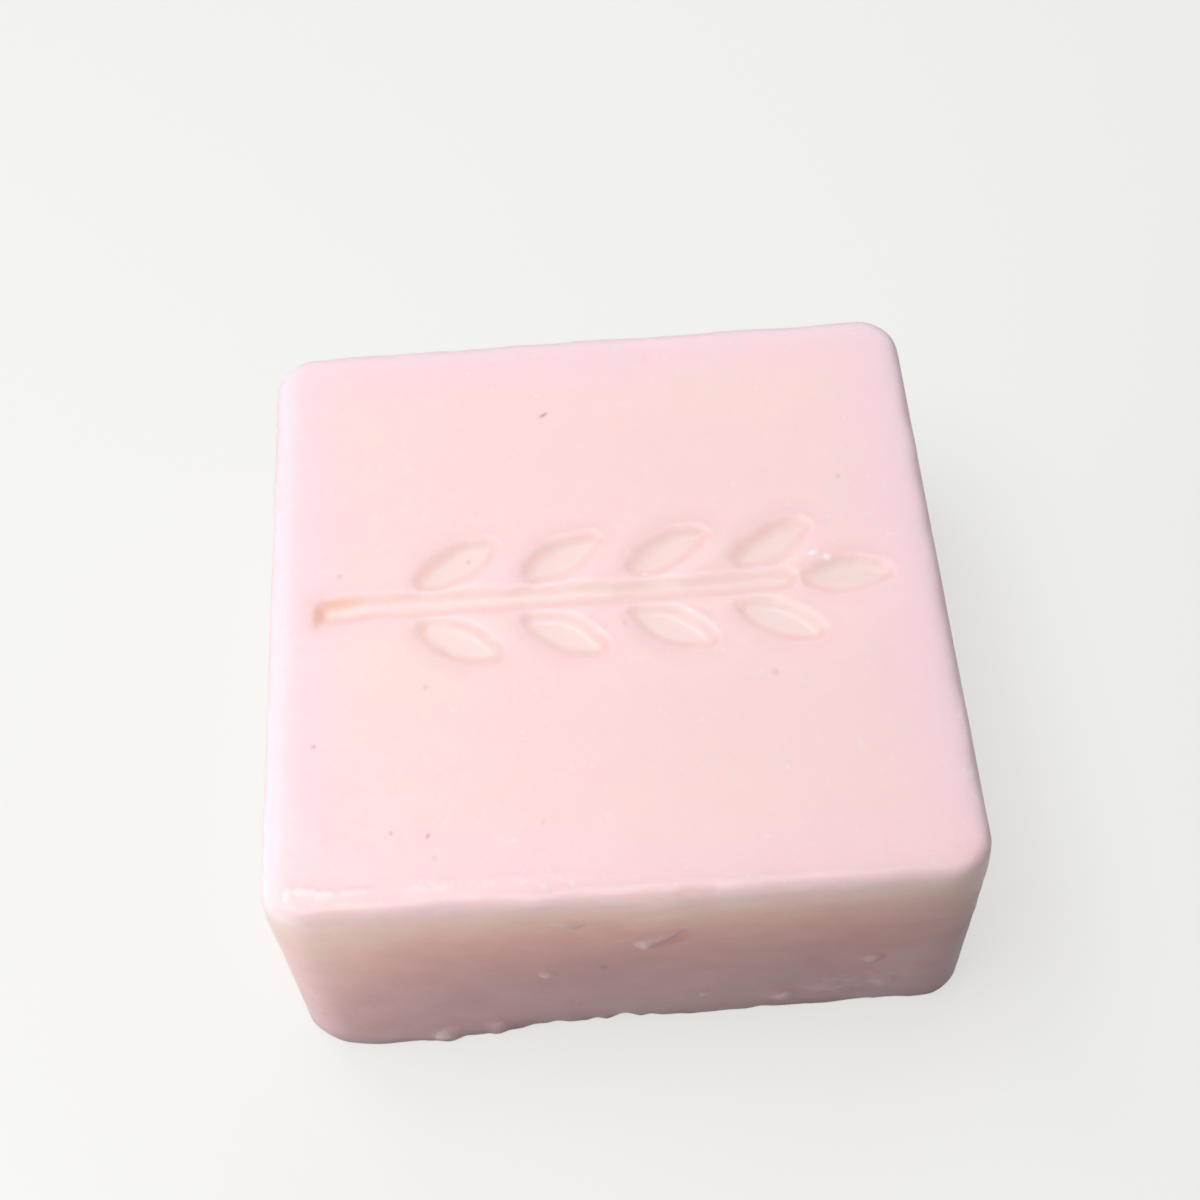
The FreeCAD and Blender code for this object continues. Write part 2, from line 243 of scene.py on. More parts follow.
def leaf_floor(tree, given):
    """A leaf from its root along +X, as large as the floor of its hollow."""
    disc = add(tree, "GeometryNodeMeshCircle", {"Vertices": 48, "Radius": 1.0}, fill_type="NGON")
    at = add(tree, SEPARATE, {0: add(tree, "GeometryNodeInputPosition")}).outputs
    length = add(tree, MATHS, {0: given["Leaf Length"], 1: given["Press Wall"]}, operation="SUBTRACT")
    width = add(tree, MATHS, {0: given["Leaf Width"], 1: given["Press Wall"]}, operation="SUBTRACT")
    half_length = add(tree, MATHS, {0: length, 1: 0.5}, operation="MULTIPLY")
    half_width = add(tree, MATHS, {0: width, 1: 0.5}, operation="MULTIPLY")
    middle = add(tree, MATHS, {0: given["Leaf Length"], 1: 0.5}, operation="MULTIPLY")
    x = add(tree, MATHS, {0: at["X"], 1: half_length, 2: middle}, operation="MULTIPLY_ADD")
    # Y times its own size turns the circle's round ends into a leaf's points
    size = add(tree, MATHS, {0: at["Y"]}, operation="ABSOLUTE")
    pointed = add(tree, MATHS, {0: at["Y"], 1: size}, operation="MULTIPLY")
    y = add(tree, MATHS, {0: pointed, 1: half_width}, operation="MULTIPLY")
    place = add(tree, COMBINE, {"X": x, "Y": y})
    return add(tree, "GeometryNodeSetPosition", {"Geometry": disc, "Position": place})


def sprig_floors(tree, given):
    """The floors of all the sprig's hollows, as flat faces level with the top of the bar."""
    join = add(tree, "GeometryNodeJoinGeometry")
    leaf = leaf_floor(tree, given)
    for hand in (1, -1):
        root = add(tree, MATHS, {0: given["Leaf Root"], 1: hand}, operation="MULTIPLY")
        start = add(tree, COMBINE, {"X": given["Last Pair"], "Y": root, "Z": given["Height"]})
        back = add(tree, MATHS, {0: given["Leaf Pitch"], 1: -1.0}, operation="MULTIPLY")
        step = add(tree, COMBINE, {"X": back})
        line = {"Count": given["Leaf Pairs"], "Start Location": start, "Offset": step}
        row = add(tree, "GeometryNodeMeshLine", line)
        angle = add(tree, MATHS, {0: given["Leaf Angle"], 1: hand}, operation="MULTIPLY")
        placed = {"Points": row, "Instance": leaf, "Rotation": add(tree, COMBINE, {"Z": angle})}
        leaves = add(tree, "GeometryNodeInstanceOnPoints", placed)
        tree.links.new(leaves.outputs[0], join.inputs[0])
    root = add(tree, MATHS, {0: given["Sprig End"], 1: given["Leaf Length"]}, operation="SUBTRACT")
    place = add(tree, COMBINE, {"X": root, "Z": given["Height"]})
    end_leaf = add(tree, "GeometryNodeTransform", {"Geometry": leaf, "Translation": place})
    tree.links.new(end_leaf.outputs[0], join.inputs[0])
    length = add(tree, MATHS, {0: given["Stem End"], 1: given["Stem Start"]}, operation="SUBTRACT")
    floor_length = add(tree, MATHS, {0: length, 1: given["Press Wall"]}, operation="SUBTRACT")
    width = {0: given["Stem Width"], 1: given["Press Wall"]}
    floor_width = add(tree, MATHS, width, operation="SUBTRACT")
    grid = {"Size X": floor_length, "Size Y": floor_width, "Vertices X": 2, "Vertices Y": 2}
    both = add(tree, MATHS, {0: given["Stem End"], 1: given["Stem Start"]}, operation="ADD")
    middle = add(tree, MATHS, {0: both, 1: 0.5}, operation="MULTIPLY")
    place = add(tree, COMBINE, {"X": middle, "Z": given["Height"]})
    floor = add(tree, "GeometryNodeMeshGrid", grid)
    stem = add(tree, "GeometryNodeTransform", {"Geometry": floor, "Translation": place})
    tree.links.new(stem.outputs[0], join.inputs[0])
    return add(tree, "GeometryNodeRealizeInstances", {0: join})


# How far the outline of the sprig strays, and over what length
STRAY = 0.35
STRAY_LENGTH = 3.0


def press_fields(tree, given, floors):
    """How far each point is pressed, 0 on the face to 1 on a floor, and how near it is to the sprig."""
    nearest = add(tree, "GeometryNodeProximity", {0: floors}, target_element="FACES")
    distance = nearest.outputs["Distance"]
    wander = add(tree, NOISE, {"Scale": 1 / (STRAY_LENGTH * MM), "Detail": 2.0})
    shift = add(tree, RANGE, {"Value": wander, "To Min": -STRAY * MM, "To Max": STRAY * MM})
    uneven = add(tree, MATHS, {0: distance, 1: shift}, operation="ADD")
    wall = {"Value": uneven, "From Max": given["Press Wall"], "To Min": 1.0, "To Max": 0.0}
    halo = {"Value": uneven, "From Max": given["Halo Reach"], "To Min": 1.0, "To Max": 0.0}
    pressed = add(tree, RANGE, wall, interpolation_type="SMOOTHSTEP")
    near = add(tree, RANGE, halo, interpolation_type="SMOOTHSTEP")
    return pressed, near


def round_off(tree, run, rise):
    """The shift from a square corner to its round. Run and rise are measured from the round's start."""
    pair = add(tree, COMBINE, {"X": run, "Y": rise})
    length = add(tree, VECTORS, {0: pair}, operation="LENGTH").outputs["Value"]
    some = add(tree, MATHS, {0: length, 1: 1e-9}, operation="MAXIMUM")
    longest = add(tree, MATHS, {0: run, 1: rise}, operation="MAXIMUM")
    share = add(tree, MATHS, {0: longest, 1: some}, operation="DIVIDE")
    less = add(tree, MATHS, {0: share, 1: 1.0}, operation="SUBTRACT")
    shift = add(tree, VECTORS, {0: pair, "Scale": less}, operation="SCALE")
    return add(tree, SEPARATE, {0: shift}).outputs


def past(tree, value, start):
    """How far a value lies past a start, or 0 before it."""
    over = add(tree, MATHS, {0: value, 1: start}, operation="SUBTRACT")
    return add(tree, MATHS, {0: over, 1: 0.0}, operation="MAXIMUM")


# How many times as fast the edge field, which carries the painted sheen of the outline, fades below the
# top, so that the sheen stays off the walls, and down an upright corner
WALL_FADE = 4.0
CORNER_FADE = 0.25


def edge_field(tree, given):
    """How near each point is to the outline of the top or to an upright corner: 1 there, 0 far away."""
    position = add(tree, "GeometryNodeInputPosition")
    at = add(tree, SEPARATE, {0: add(tree, VECTORS, {0: position}, operation="ABSOLUTE")}).outputs
    in_x = add(tree, MATHS, {0: given["Half Width"], 1: at["X"]}, operation="SUBTRACT")
    in_y = add(tree, MATHS, {0: given["Half Depth"], 1: at["Y"]}, operation="SUBTRACT")
    below = add(tree, MATHS, {0: given["Height"], 1: at["Z"]}, operation="SUBTRACT")
    least = add(tree, MATHS, {0: in_x, 1: in_y}, operation="MINIMUM")
    most = add(tree, MATHS, {0: in_x, 1: in_y}, operation="MAXIMUM")
    from_top = add(tree, MATHS, {0: below, 1: WALL_FADE, 2: least}, operation="MULTIPLY_ADD")
    upright = add(tree, MATHS, {0: below, 1: CORNER_FADE, 2: most}, operation="MULTIPLY_ADD")
    distance = add(tree, MATHS, {0: upright, 1: from_top}, operation="MINIMUM")
    reach = {"Value": distance, "From Max": given["Edge Reach"], "To Min": 1.0, "To Max": 0.0}
    return add(tree, RANGE, reach, interpolation_type="SMOOTHSTEP")


# Over what length the top edge's round grows and shrinks
EDGE_LENGTH = 6.0


def block_position(tree, given, pressed, near):
    """Where each point of the box goes: round corners, a soft edge, a sharp rim, and leaning walls."""
    position = add(tree, "GeometryNodeInputPosition")
    level = add(tree, SEPARATE, {0: position}).outputs["Z"]
    core_x = add(tree, MATHS, {0: given["Half Width"], 1: given["Corner Radius"]}, operation="SUBTRACT")
    core_y = add(tree, MATHS, {0: given["Half Depth"], 1: given["Corner Radius"]}, operation="SUBTRACT")
    high = add(tree, COMBINE, {"X": core_x, "Y": core_y, "Z": given["Height"]})
    low = add(tree, VECTORS, {0: high, "Scale": -1.0}, operation="SCALE")
    above = add(tree, VECTORS, {0: position, 1: low}, operation="MAXIMUM")
    core = add(tree, VECTORS, {0: above, 1: high}, operation="MINIMUM")
    outward = add(tree, VECTORS, {0: position, 1: core}, operation="SUBTRACT")
    sizes = add(tree, SEPARATE, {0: add(tree, VECTORS, {0: outward}, operation="ABSOLUTE")}).outputs
    ring = add(tree, MATHS, {0: sizes["X"], 1: sizes["Y"]}, operation="MAXIMUM")
    # The round of the top edge is larger in one place than in another
    flat = add(tree, VECTORS, {0: core, 1: (1.0, 1.0, 0.0)}, operation="MULTIPLY")
    wander = add(tree, NOISE, {"Vector": flat, "Scale": 1 / (EDGE_LENGTH * MM), "Detail": 2.0})
    middle = {"Value": wander, "From Min": 0.3, "From Max": 0.7}
    swing = add(tree, RANGE, middle | {"To Min": -1.0, "To Max": 1.0})
    sized = {0: swing, 1: given["Edge Wander"], 2: given["Soft Edge"]}
    soft_edge = add(tree, MATHS, sized, operation="MULTIPLY_ADD")
    soft_ring = add(tree, MATHS, {0: given["Corner Radius"], 1: soft_edge}, operation="SUBTRACT")
    soft_level = add(tree, MATHS, {0: given["Height"], 1: soft_edge}, operation="SUBTRACT")
    soft = round_off(tree, past(tree, ring, soft_ring), past(tree, level, soft_level))
    rim_ring = add(tree, MATHS, {0: given["Corner Radius"], 1: given["Rim Edge"]}, operation="SUBTRACT")
    rim = round_off(tree, past(tree, ring, rim_ring), past(tree, given["Rim Edge"], level))
    soft_out = add(tree, MATHS, {0: ring, 1: soft["X"]}, operation="ADD")
    out = add(tree, MATHS, {0: soft_out, 1: rim["X"]}, operation="ADD")
    soft_up = add(tree, MATHS, {0: level, 1: soft["Y"]}, operation="ADD")
    up = add(tree, MATHS, {0: soft_up, 1: rim["Y"]}, operation="SUBTRACT")
    drop = add(tree, MATHS, {0: given["Height"], 1: up}, operation="SUBTRACT")
    # The last few millimetres of the wall curve in a little, as a cast bar shrinks
    climb = {"Value": drop, "From Max": given["Shoulder Reach"], "To Min": 1.0, "To Max": 0.0}
    climb = add(tree, RANGE, climb)
    curve = add(tree, MATHS, {0: climb, 1: 2.0}, operation="POWER")
    most = add(tree, MATHS, {0: given["Shoulder"], 1: given["Corner Radius"]}, operation="DIVIDE")
    pull = add(tree, MATHS, {0: curve, 1: most}, operation="MULTIPLY")
    kept = add(tree, MATHS, {0: 1.0, 1: pull}, operation="SUBTRACT")
    shrunk = add(tree, MATHS, {0: out, 1: kept}, operation="MULTIPLY")
    leaned = add(tree, MATHS, {0: drop, 1: given["Draft"], 2: shrunk}, operation="MULTIPLY_ADD")
    direction = add(tree, VECTORS, {0: outward}, operation="NORMALIZE")
    reach = add(tree, VECTORS, {0: direction, "Scale": leaned}, operation="SCALE")
    sunk = add(tree, MATHS, {0: pressed, 1: given["Press Depth"]}, operation="MULTIPLY")
    sagged = add(tree, MATHS, {0: near, 1: given["Halo Depth"], 2: sunk}, operation="MULTIPLY_ADD")
    lift = add(tree, COMBINE, {"Z": add(tree, MATHS, {0: up, 1: sagged}, operation="SUBTRACT")})
    plan = add(tree, VECTORS, {0: flat, 1: reach}, operation="ADD")
    return add(tree, VECTORS, {0: plan, 1: lift}, operation="ADD")


# How long the waves, lumps and grain of the surface are, and how much of the lumps and grain is left
# behind the front
WAVE_LENGTH = 16.0
LUMP_LENGTH = 3.2
GRAIN_LENGTH = 1.2
CALM = 0.12


def unevenness(tree, given, seed):
    """The offset of a hand-poured surface: long waves all over, lumps and grain mostly at the front."""
    position = add(tree, "GeometryNodeInputPosition")
    depth = add(tree, SEPARATE, {0: position}).outputs["Y"]
    reach = {"Value": depth, "From Min": -HALF_DEPTH * MM, "From Max": (FINE_FRONT - HALF_DEPTH) * MM}
    front = add(tree, RANGE, reach | {"To Min": 1.0, "To Max": CALM})
    layers = [
        ("Wave Height", WAVE_LENGTH, 1.0),
        ("Lump Height", LUMP_LENGTH, front),
        ("Grain Height", GRAIN_LENGTH, front),
    ]
    height = 0.0
    for name, size, share in layers:
        pattern = {"Vector": position, "W": seed, "Scale": 1 / (size * MM), "Detail": 2.0}
        noise = add(tree, NOISE, pattern, noise_dimensions="4D")
        swing = add(tree, RANGE, {"Value": noise, "To Min": -1.0, "To Max": 1.0})
        scaled = add(tree, MATHS, {0: swing, 1: given[name]}, operation="MULTIPLY")
        height = add(tree, MATHS, {0: scaled, 1: share, 2: height}, operation="MULTIPLY_ADD")
    normal = add(tree, "GeometryNodeInputNormal")
    return add(tree, VECTORS, {0: normal, "Scale": height}, operation="SCALE")


# Over what length the peach tint of the top comes and goes
TINT_LENGTH = 20.0
SEED = 3.0


def shape_tree(material):
    """The tree that turns the blank into the bar, and paints where the press and the edges are."""
    tree = bpy.data.node_groups.new("cast_bar", "GeometryNodeTree")
    tree.interface.new_socket("Geometry", in_out="INPUT", socket_type="NodeSocketGeometry")
    for name in [*LENGTHS, "Draft", "Leaf Angle", "Seed"]:
        tree.interface.new_socket(name, in_out="INPUT", socket_type="NodeSocketFloat")
    tree.interface.new_socket("Leaf Pairs", in_out="INPUT", socket_type="NodeSocketInt")
    tree.interface.new_socket("Geometry", in_out="OUTPUT", socket_type="NodeSocketGeometry")
    given = add(tree, "NodeGroupInput").outputs
    pressed, near = press_fields(tree, given, sprig_floors(tree, given))
    geometry = given["Geometry"]
    drift = add(tree, NOISE, {"Scale": 1 / (TINT_LENGTH * MM), "Detail": 3.0, "Roughness": 0.55})
    peach = add(tree, RANGE, {"Value": drift, "From Min": 0.4, "From Max": 0.7})
    edge = edge_field(tree, given)
    # near_edge carries the painted sheen of the outline, and near_sprig the painted shade round the
    # sprig
    fields = {"pressed": pressed, "near_sprig": near, "near_edge": edge, "peach": peach}
    for name, value in fields.items():
        kept = {"Geometry": geometry, "Name": name, "Value": value}
        geometry = add(tree, "GeometryNodeStoreNamedAttribute", kept)
    shaped = {"Geometry": geometry, "Position": block_position(tree, given, pressed, near)}
    shaped = add(tree, "GeometryNodeSetPosition", shaped)
    uneven = {"Geometry": shaped, "Offset": unevenness(tree, given, given["Seed"])}
    uneven = add(tree, "GeometryNodeSetPosition", uneven)
    smooth = add(tree, "GeometryNodeSetShadeSmooth", {"Geometry": uneven})
    real = add(tree, "GeometryNodeRealizeInstances", {0: smooth})
    coated = add(tree, "GeometryNodeSetMaterial", {"Geometry": real, "Material": material})
    add(tree, "NodeGroupOutput", {0: coated})
    return tree


def shape(blank, material):
    """Runs the tree on the blank and keeps its result as the blank's own mesh."""
    tree = shape_tree(material)
    values = {name: size * MM for name, size in LENGTHS.items()}
    values |= {"Draft": DRAFT, "Leaf Angle": LEAF_ANGLE, "Leaf Pairs": LEAF_PAIRS, "Seed": SEED}
    modifier = blank.modifiers.new("shape", "NODES")
    modifier.node_group = tree
    for item in tree.interface.items_tree:
        if item.name in values:
            modifier[item.identifier] = values[item.name]
    evaluated = blank.evaluated_get(bpy.context.evaluated_depsgraph_get())
    mesh = bpy.data.meshes.new_from_object(evaluated)
    blank.modifiers.remove(modifier)
    blank.data = mesh
    return blank


# --- wear -----------------------------------------------------------------------------------------

# Each mark is a soft-edged oval on the front or the top of the bar: where its middle is along the
# side, and up the front or back from the middle of the top; its length, breadth and height (a hollow
# is below 0); its turn in degrees; and how much its surface is scuffed pale, or for the beads painted
# white as glints
MARKS = {
    "lean": ("front", 9.0, 26.0, 38.0, 20.0, 0.45, 0, 0.0),
    "slump": ("front", 1.0, 24.0, 8.0, 2.6, 0.26, 14, 0.0),
    "slump_lower": ("front", 3.4, 21.6, 4.6, 1.8, 0.16, 36, 0.0),
    "flap": ("front", 2.7, 19.6, 4.6, 1.5, 0.56, 38, 1.15),
    "flap_tip": ("front", 1.0, 18.2, 2.0, 1.6, 0.60, 40, 1.6),
    "flap_hollow": ("front", 3.6, 18.4, 4.6, 1.6, -0.30, 40, 0.0),
    "edge_lump": ("front", -5.0, 23.0, 2.8, 1.6, 0.34, -6, 0.8),
    "edge_lump_2": ("front", -1.8, 23.1, 2.2, 1.2, 0.20, 0, 0.6),
    "left_nick": ("front", -7.3, 12.4, 1.7, 1.7, 0.34, 25, 1.0),
    "right_nick": ("front", 20.8, 10.8, 2.2, 1.4, 0.44, 0, 1.35),
    "low_nick": ("front", 6.2, 5.1, 1.1, 1.2, 0.22, 0, 0.9),
    "low_flake": ("front", 13.4, 3.3, 2.6, 2.0, 0.34, 20, 0.9),
    "low_flake_2": ("front", 17.6, 4.4, 5.0, 2.6, 0.12, 5, 0.65),
    "low_flake_3": ("front", 22.4, 5.0, 2.2, 2.4, 0.26, 30, 0.85),
    "low_flake_4": ("front", 24.8, 7.0, 4.4, 3.4, 0.12, 35, 0.8),
    "low_haze": ("front", 19.5, 5.5, 13.0, 6.0, 0.0, 12, 0.4),
    "foot_lump": ("front", -17.4, 0.6, 4.0, 2.2, 0.22, 4, 0.5),
    "foot_lump_2": ("front", -12.4, 1.3, 2.4, 2.0, 0.18, 0, 0.4),
    "streak": ("top", -27.4, -26.8, 1.1, 1.5, 0.13, 0, 0.85),
    "streak_2": ("top", -25.9, -26.7, 3.2, 0.9, 0.11, -5, 0.75),
    "streak_3": ("top", -24.4, -27.1, 2.0, 1.0, 0.13, 3, 0.9),
    "streak_4": ("top", -22.0, -26.9, 3.4, 0.8, 0.09, 3, 0.4),
    "crumbs": ("top", -15.8, -26.9, 4.2, 1.9, 0.08, 5, 0.33),
    "crumbs_2": ("top", -8.2, -26.9, 8.6, 1.6, 0.06, 0, 0.28),
    "right_crumbs": ("top", 29.0, -20.0, 1.6, 12.0, 0.06, 0, 0.4),
    # The beads are small raised dots painted white: painted glints
    "painted_glint_1": ("top", 18.7, 2.4, 0.9, 0.6, 0.12, 20, 1.6),
    "painted_glint_2": ("top", 19.9, 1.9, 0.8, 0.6, 0.12, -20, 1.6),
    "painted_glint_3": ("top", 3.6, 1.6, 0.7, 0.5, 0.08, 0, 1.2),
    "dash": ("top", -4.5, 20.2, 1.1, 0.5, -0.12, 40, 0.0),
    "back_dimple": ("top", 5.5, 25.9, 2.2, 1.6, -0.22, 70, 0.0),
}

# Dark specks, honey-coloured stains where oil has come out at the start of the stem, and the part of
# the top that holds open pores: side, middle, length, breadth, turn and strength
SPECKS = {
    "dash": ("top", -4.5, 20.0, 1.0, 0.5, 35, 0.5),
    "back_right": ("top", 22.0, 10.5, 0.5, 0.5, 0, 0.25),
    "near_stem": ("top", -16.0, -8.5, 0.7, 0.7, 0, 0.18),
    "left": ("top", -25.5, -13.5, 0.5, 0.5, 0, 0.35),
    "front_left": ("top", -19.0, -22.0, 0.4, 0.5, 20, 0.35),
    "front_left_2": ("top", -16.0, -22.5, 0.4, 0.6, -15, 0.45),
    "front_left_3": ("top", -15.5, -24.5, 0.4, 0.6, 30, 0.12),
    "front_middle": ("top", -6.5, -22.0, 0.4, 0.7, -30, 0.12),
    "stem_left": ("top", -23.5, 3.5, 0.6, 0.6, 0, 0.2),
    "leaf_left": ("top", -12.0, 4.5, 0.5, 0.6, 0, 0.25),
    "middle": ("top", 1.5, -3.5, 0.6, 0.7, 0, 0.15),
    "right": ("top", 14.0, -9.5, 0.7, 0.9, 20, 0.15),
    "front": ("front", -2.5, 13.0, 0.8, 1.0, 0, 0.2),
}
STAINS = {
    "stem_start": ("top", -23.5, 0.8, 4.2, 1.4, 8, 0.35),
    "stem_end": ("top", -25.4, -0.6, 1.2, 3.0, -6, 0.5),
    "stem_foot": ("top", -21.0, -0.6, 3.6, 1.0, 0, 0.12),
}
PORES = {
    "front_middle": ("top", -6.0, -18.0, 44.0, 19.0, 0, 0.75),
}

# The thin lip and the chips along the foot of the front: middle, half length and reach outwards
FOOT = {
    "lip": (-20.0, 9.5, 0.75),
    "lip_start": (-24.2, 4.6, 0.32),
    "lip_end": (-13.6, 3.4, 0.36),
    "left_nub": (-16.9, 1.6, 0.28),
    "middle_nub": (-12.5, 1.2, 0.28),
    "middle_nub_2": (-10.8, 1.9, 0.34),
    "nick": (-7.2, 1.2, -0.16),
    "nick_2": (-3.6, 1.0, -0.18),
    "chip": (-1.0, 1.8, -0.42),
    "nick_3": (1.4, 1.1, -0.18),
    "nub": (5.0, 1.4, 0.12),
    "nick_4": (11.5, 1.5, -0.14),
    "right_chip": (20.8, 2.8, -0.22),
    "nick_5": (23.4, 1.8, -0.16),
}
# How high the lip and the chips are, and how far back they reach
FOOT_RISE = 1.3
FOOT_ROOT = 3.0
# How far past its outline a mark fades out, as a share of its half size
MARK_FADE = 1.25


def smooth(value):
    """Eases 0 to 1 with no corner at either end, and holds at both."""
    value = np.clip(value, 0, 1)
    return value * value * (3 - 2 * value)


def wear(bar):
    """Presses the marks and the ragged foot into the bar, and paints its scuffs, specks and stains, and
    the white of the painted glints.
    """
    mesh = bar.data
    places = np.empty(len(mesh.vertices) * 3, np.float32)
    normals = np.empty(len(mesh.vertices) * 3, np.float32)
    mesh.vertices.foreach_get("co", places)
    mesh.vertex_normals.foreach_get("vector", normals)
    places = places.reshape(-1, 3) / MM
    normals = normals.reshape(-1, 3)
    x, y, z = places.T
    sides = {
        "front": (x, z, np.clip(-normals[:, 1], 0, 1)),
        "top": (x, y, np.clip(normals[:, 2], 0, 1)),
    }

    def oval(side, along, up, length, breadth, turn):
        u, v, facing = sides[side]
        c = math.cos(math.radians(turn))
        s = math.sin(math.radians(turn))
        p = ((u - along) * c + (v - up) * s) / (length / 2)
        q = ((v - up) * c - (u - along) * s) / (breadth / 2)
        return smooth(MARK_FADE - np.hypot(p, q)) * facing

    rise = np.zeros(len(places))
    paint = {name: np.zeros(len(places)) for name in ("scuffs_and_glints", "speckled", "stained", "porous")}
    for *place, height, turn, pale in MARKS.values():
        inside = oval(*place, turn)
        rise += inside * height
        paint["scuffs_and_glints"] = np.maximum(paint["scuffs_and_glints"], inside * pale)
    for name, rows in (("speckled", SPECKS), ("stained", STAINS), ("porous", PORES)):
        for *place, strength in rows.values():
            paint[name] = np.maximum(paint[name], oval(*place) * strength)
    places += normals * rise[:, None]
    reach = np.zeros(len(places))
    for middle, half, out in FOOT.values():
        reach += out * smooth(1 - np.abs(x - middle) / half)
    near = smooth((FOOT_ROOT - HALF_DEPTH - y) / FOOT_ROOT)
    places[:, 1] -= reach * near * np.exp(-((z / FOOT_RISE) ** 2))
    mesh.vertices.foreach_set("co", (places * MM).astype(np.float32).ravel())
    for name, values in paint.items():
        painted = mesh.attributes.new(name, "FLOAT", "POINT").data
        painted.foreach_set("value", values.astype(np.float32))
    mesh.update()


# --- material -------------------------------------------------------------------------------------

# Heights on the wall. Scuffs are white up to the first, and pink from the second to the pale top; the
# painted glow, with the painted shade below it, starts and is full; the mottling starts to fade and has
# faded; the pale top starts and is full.
CHALK_FULL = 5.0
CHALK_END = 9.0
GLOW_PAINT_START = 6.5
GLOW_PAINT_FULL = 25.0
FADE_START = 23.0
FADE_END = 26.0
CREST_START = 24.8
CREST_FULL = 26.3
# Where the painted lilac sheen of the top's outline starts, behind the front edge, and where it is full
LILAC_SHEEN_START = -29.0
LILAC_SHEEN_FULL = -23.0
# How much of the painted sheen's width its very edge takes, as a power, how strong the peach tint of
# the face is, and how strong the painted shade round the sprig is
RIM_POWER = 6.0
PEACH_SHARE = 0.6
SPRIG_SHADE_SHARE = 0.55

# How far light travels in the bar: low on the wall and just under the top edge, and what share of that
# is left in the outline of the top and in a scuff
LIGHT_REACH = 10.0
GLOW_REACH = 28.0
BRIM_REACH = 0.5
SCUFF_REACH = 0.22
# How far red light goes low on the wall and just under the top edge, and how far blue light goes,
# against green
RED_REACH = 0.65
RED_GLOW_REACH = 0.78
BLUE_REACH = 0.95

# The sizes of the patterns: the mottling, across and up; the crumbs of a scuff; the cells that hold one
# pore each; and the swell of the skin, with how high it stands
MOTTLE_ACROSS = 5.0
MOTTLE_UP = 3.0
CRUMB = 1.1
PORE_CELL = 2.3
SWELL = 1.6
SWELL_HEIGHT = 0.1
# How strong the mottling is on the walls, and how much of it is left on the top
MOTTLE_SHARE = 0.16
TOP_MOTTLE = 0.2
# How ragged the crumbs make a scuff's edge, from what strength it shows and at what strength it is
# full, and how much duller it is than the skin
RAGGED = 1.6
SCUFF_START = 1.0
SCUFF_FULL = 1.6
SCUFF_DULL = 0.25
# A pore's middle and its rim, as shares of its cell, and how strong it is
PORE_MIDDLE = 0.04
PORE_RIM = 0.16
PORE_SHARE = 0.45
# How dull the skin is, from its glossiest patches to its dullest, and how strongly it swells
GLOSSIEST = 0.34
DULLEST = 0.46
SWELL_STRENGTH = 0.3
WAX_IOR = 1.44


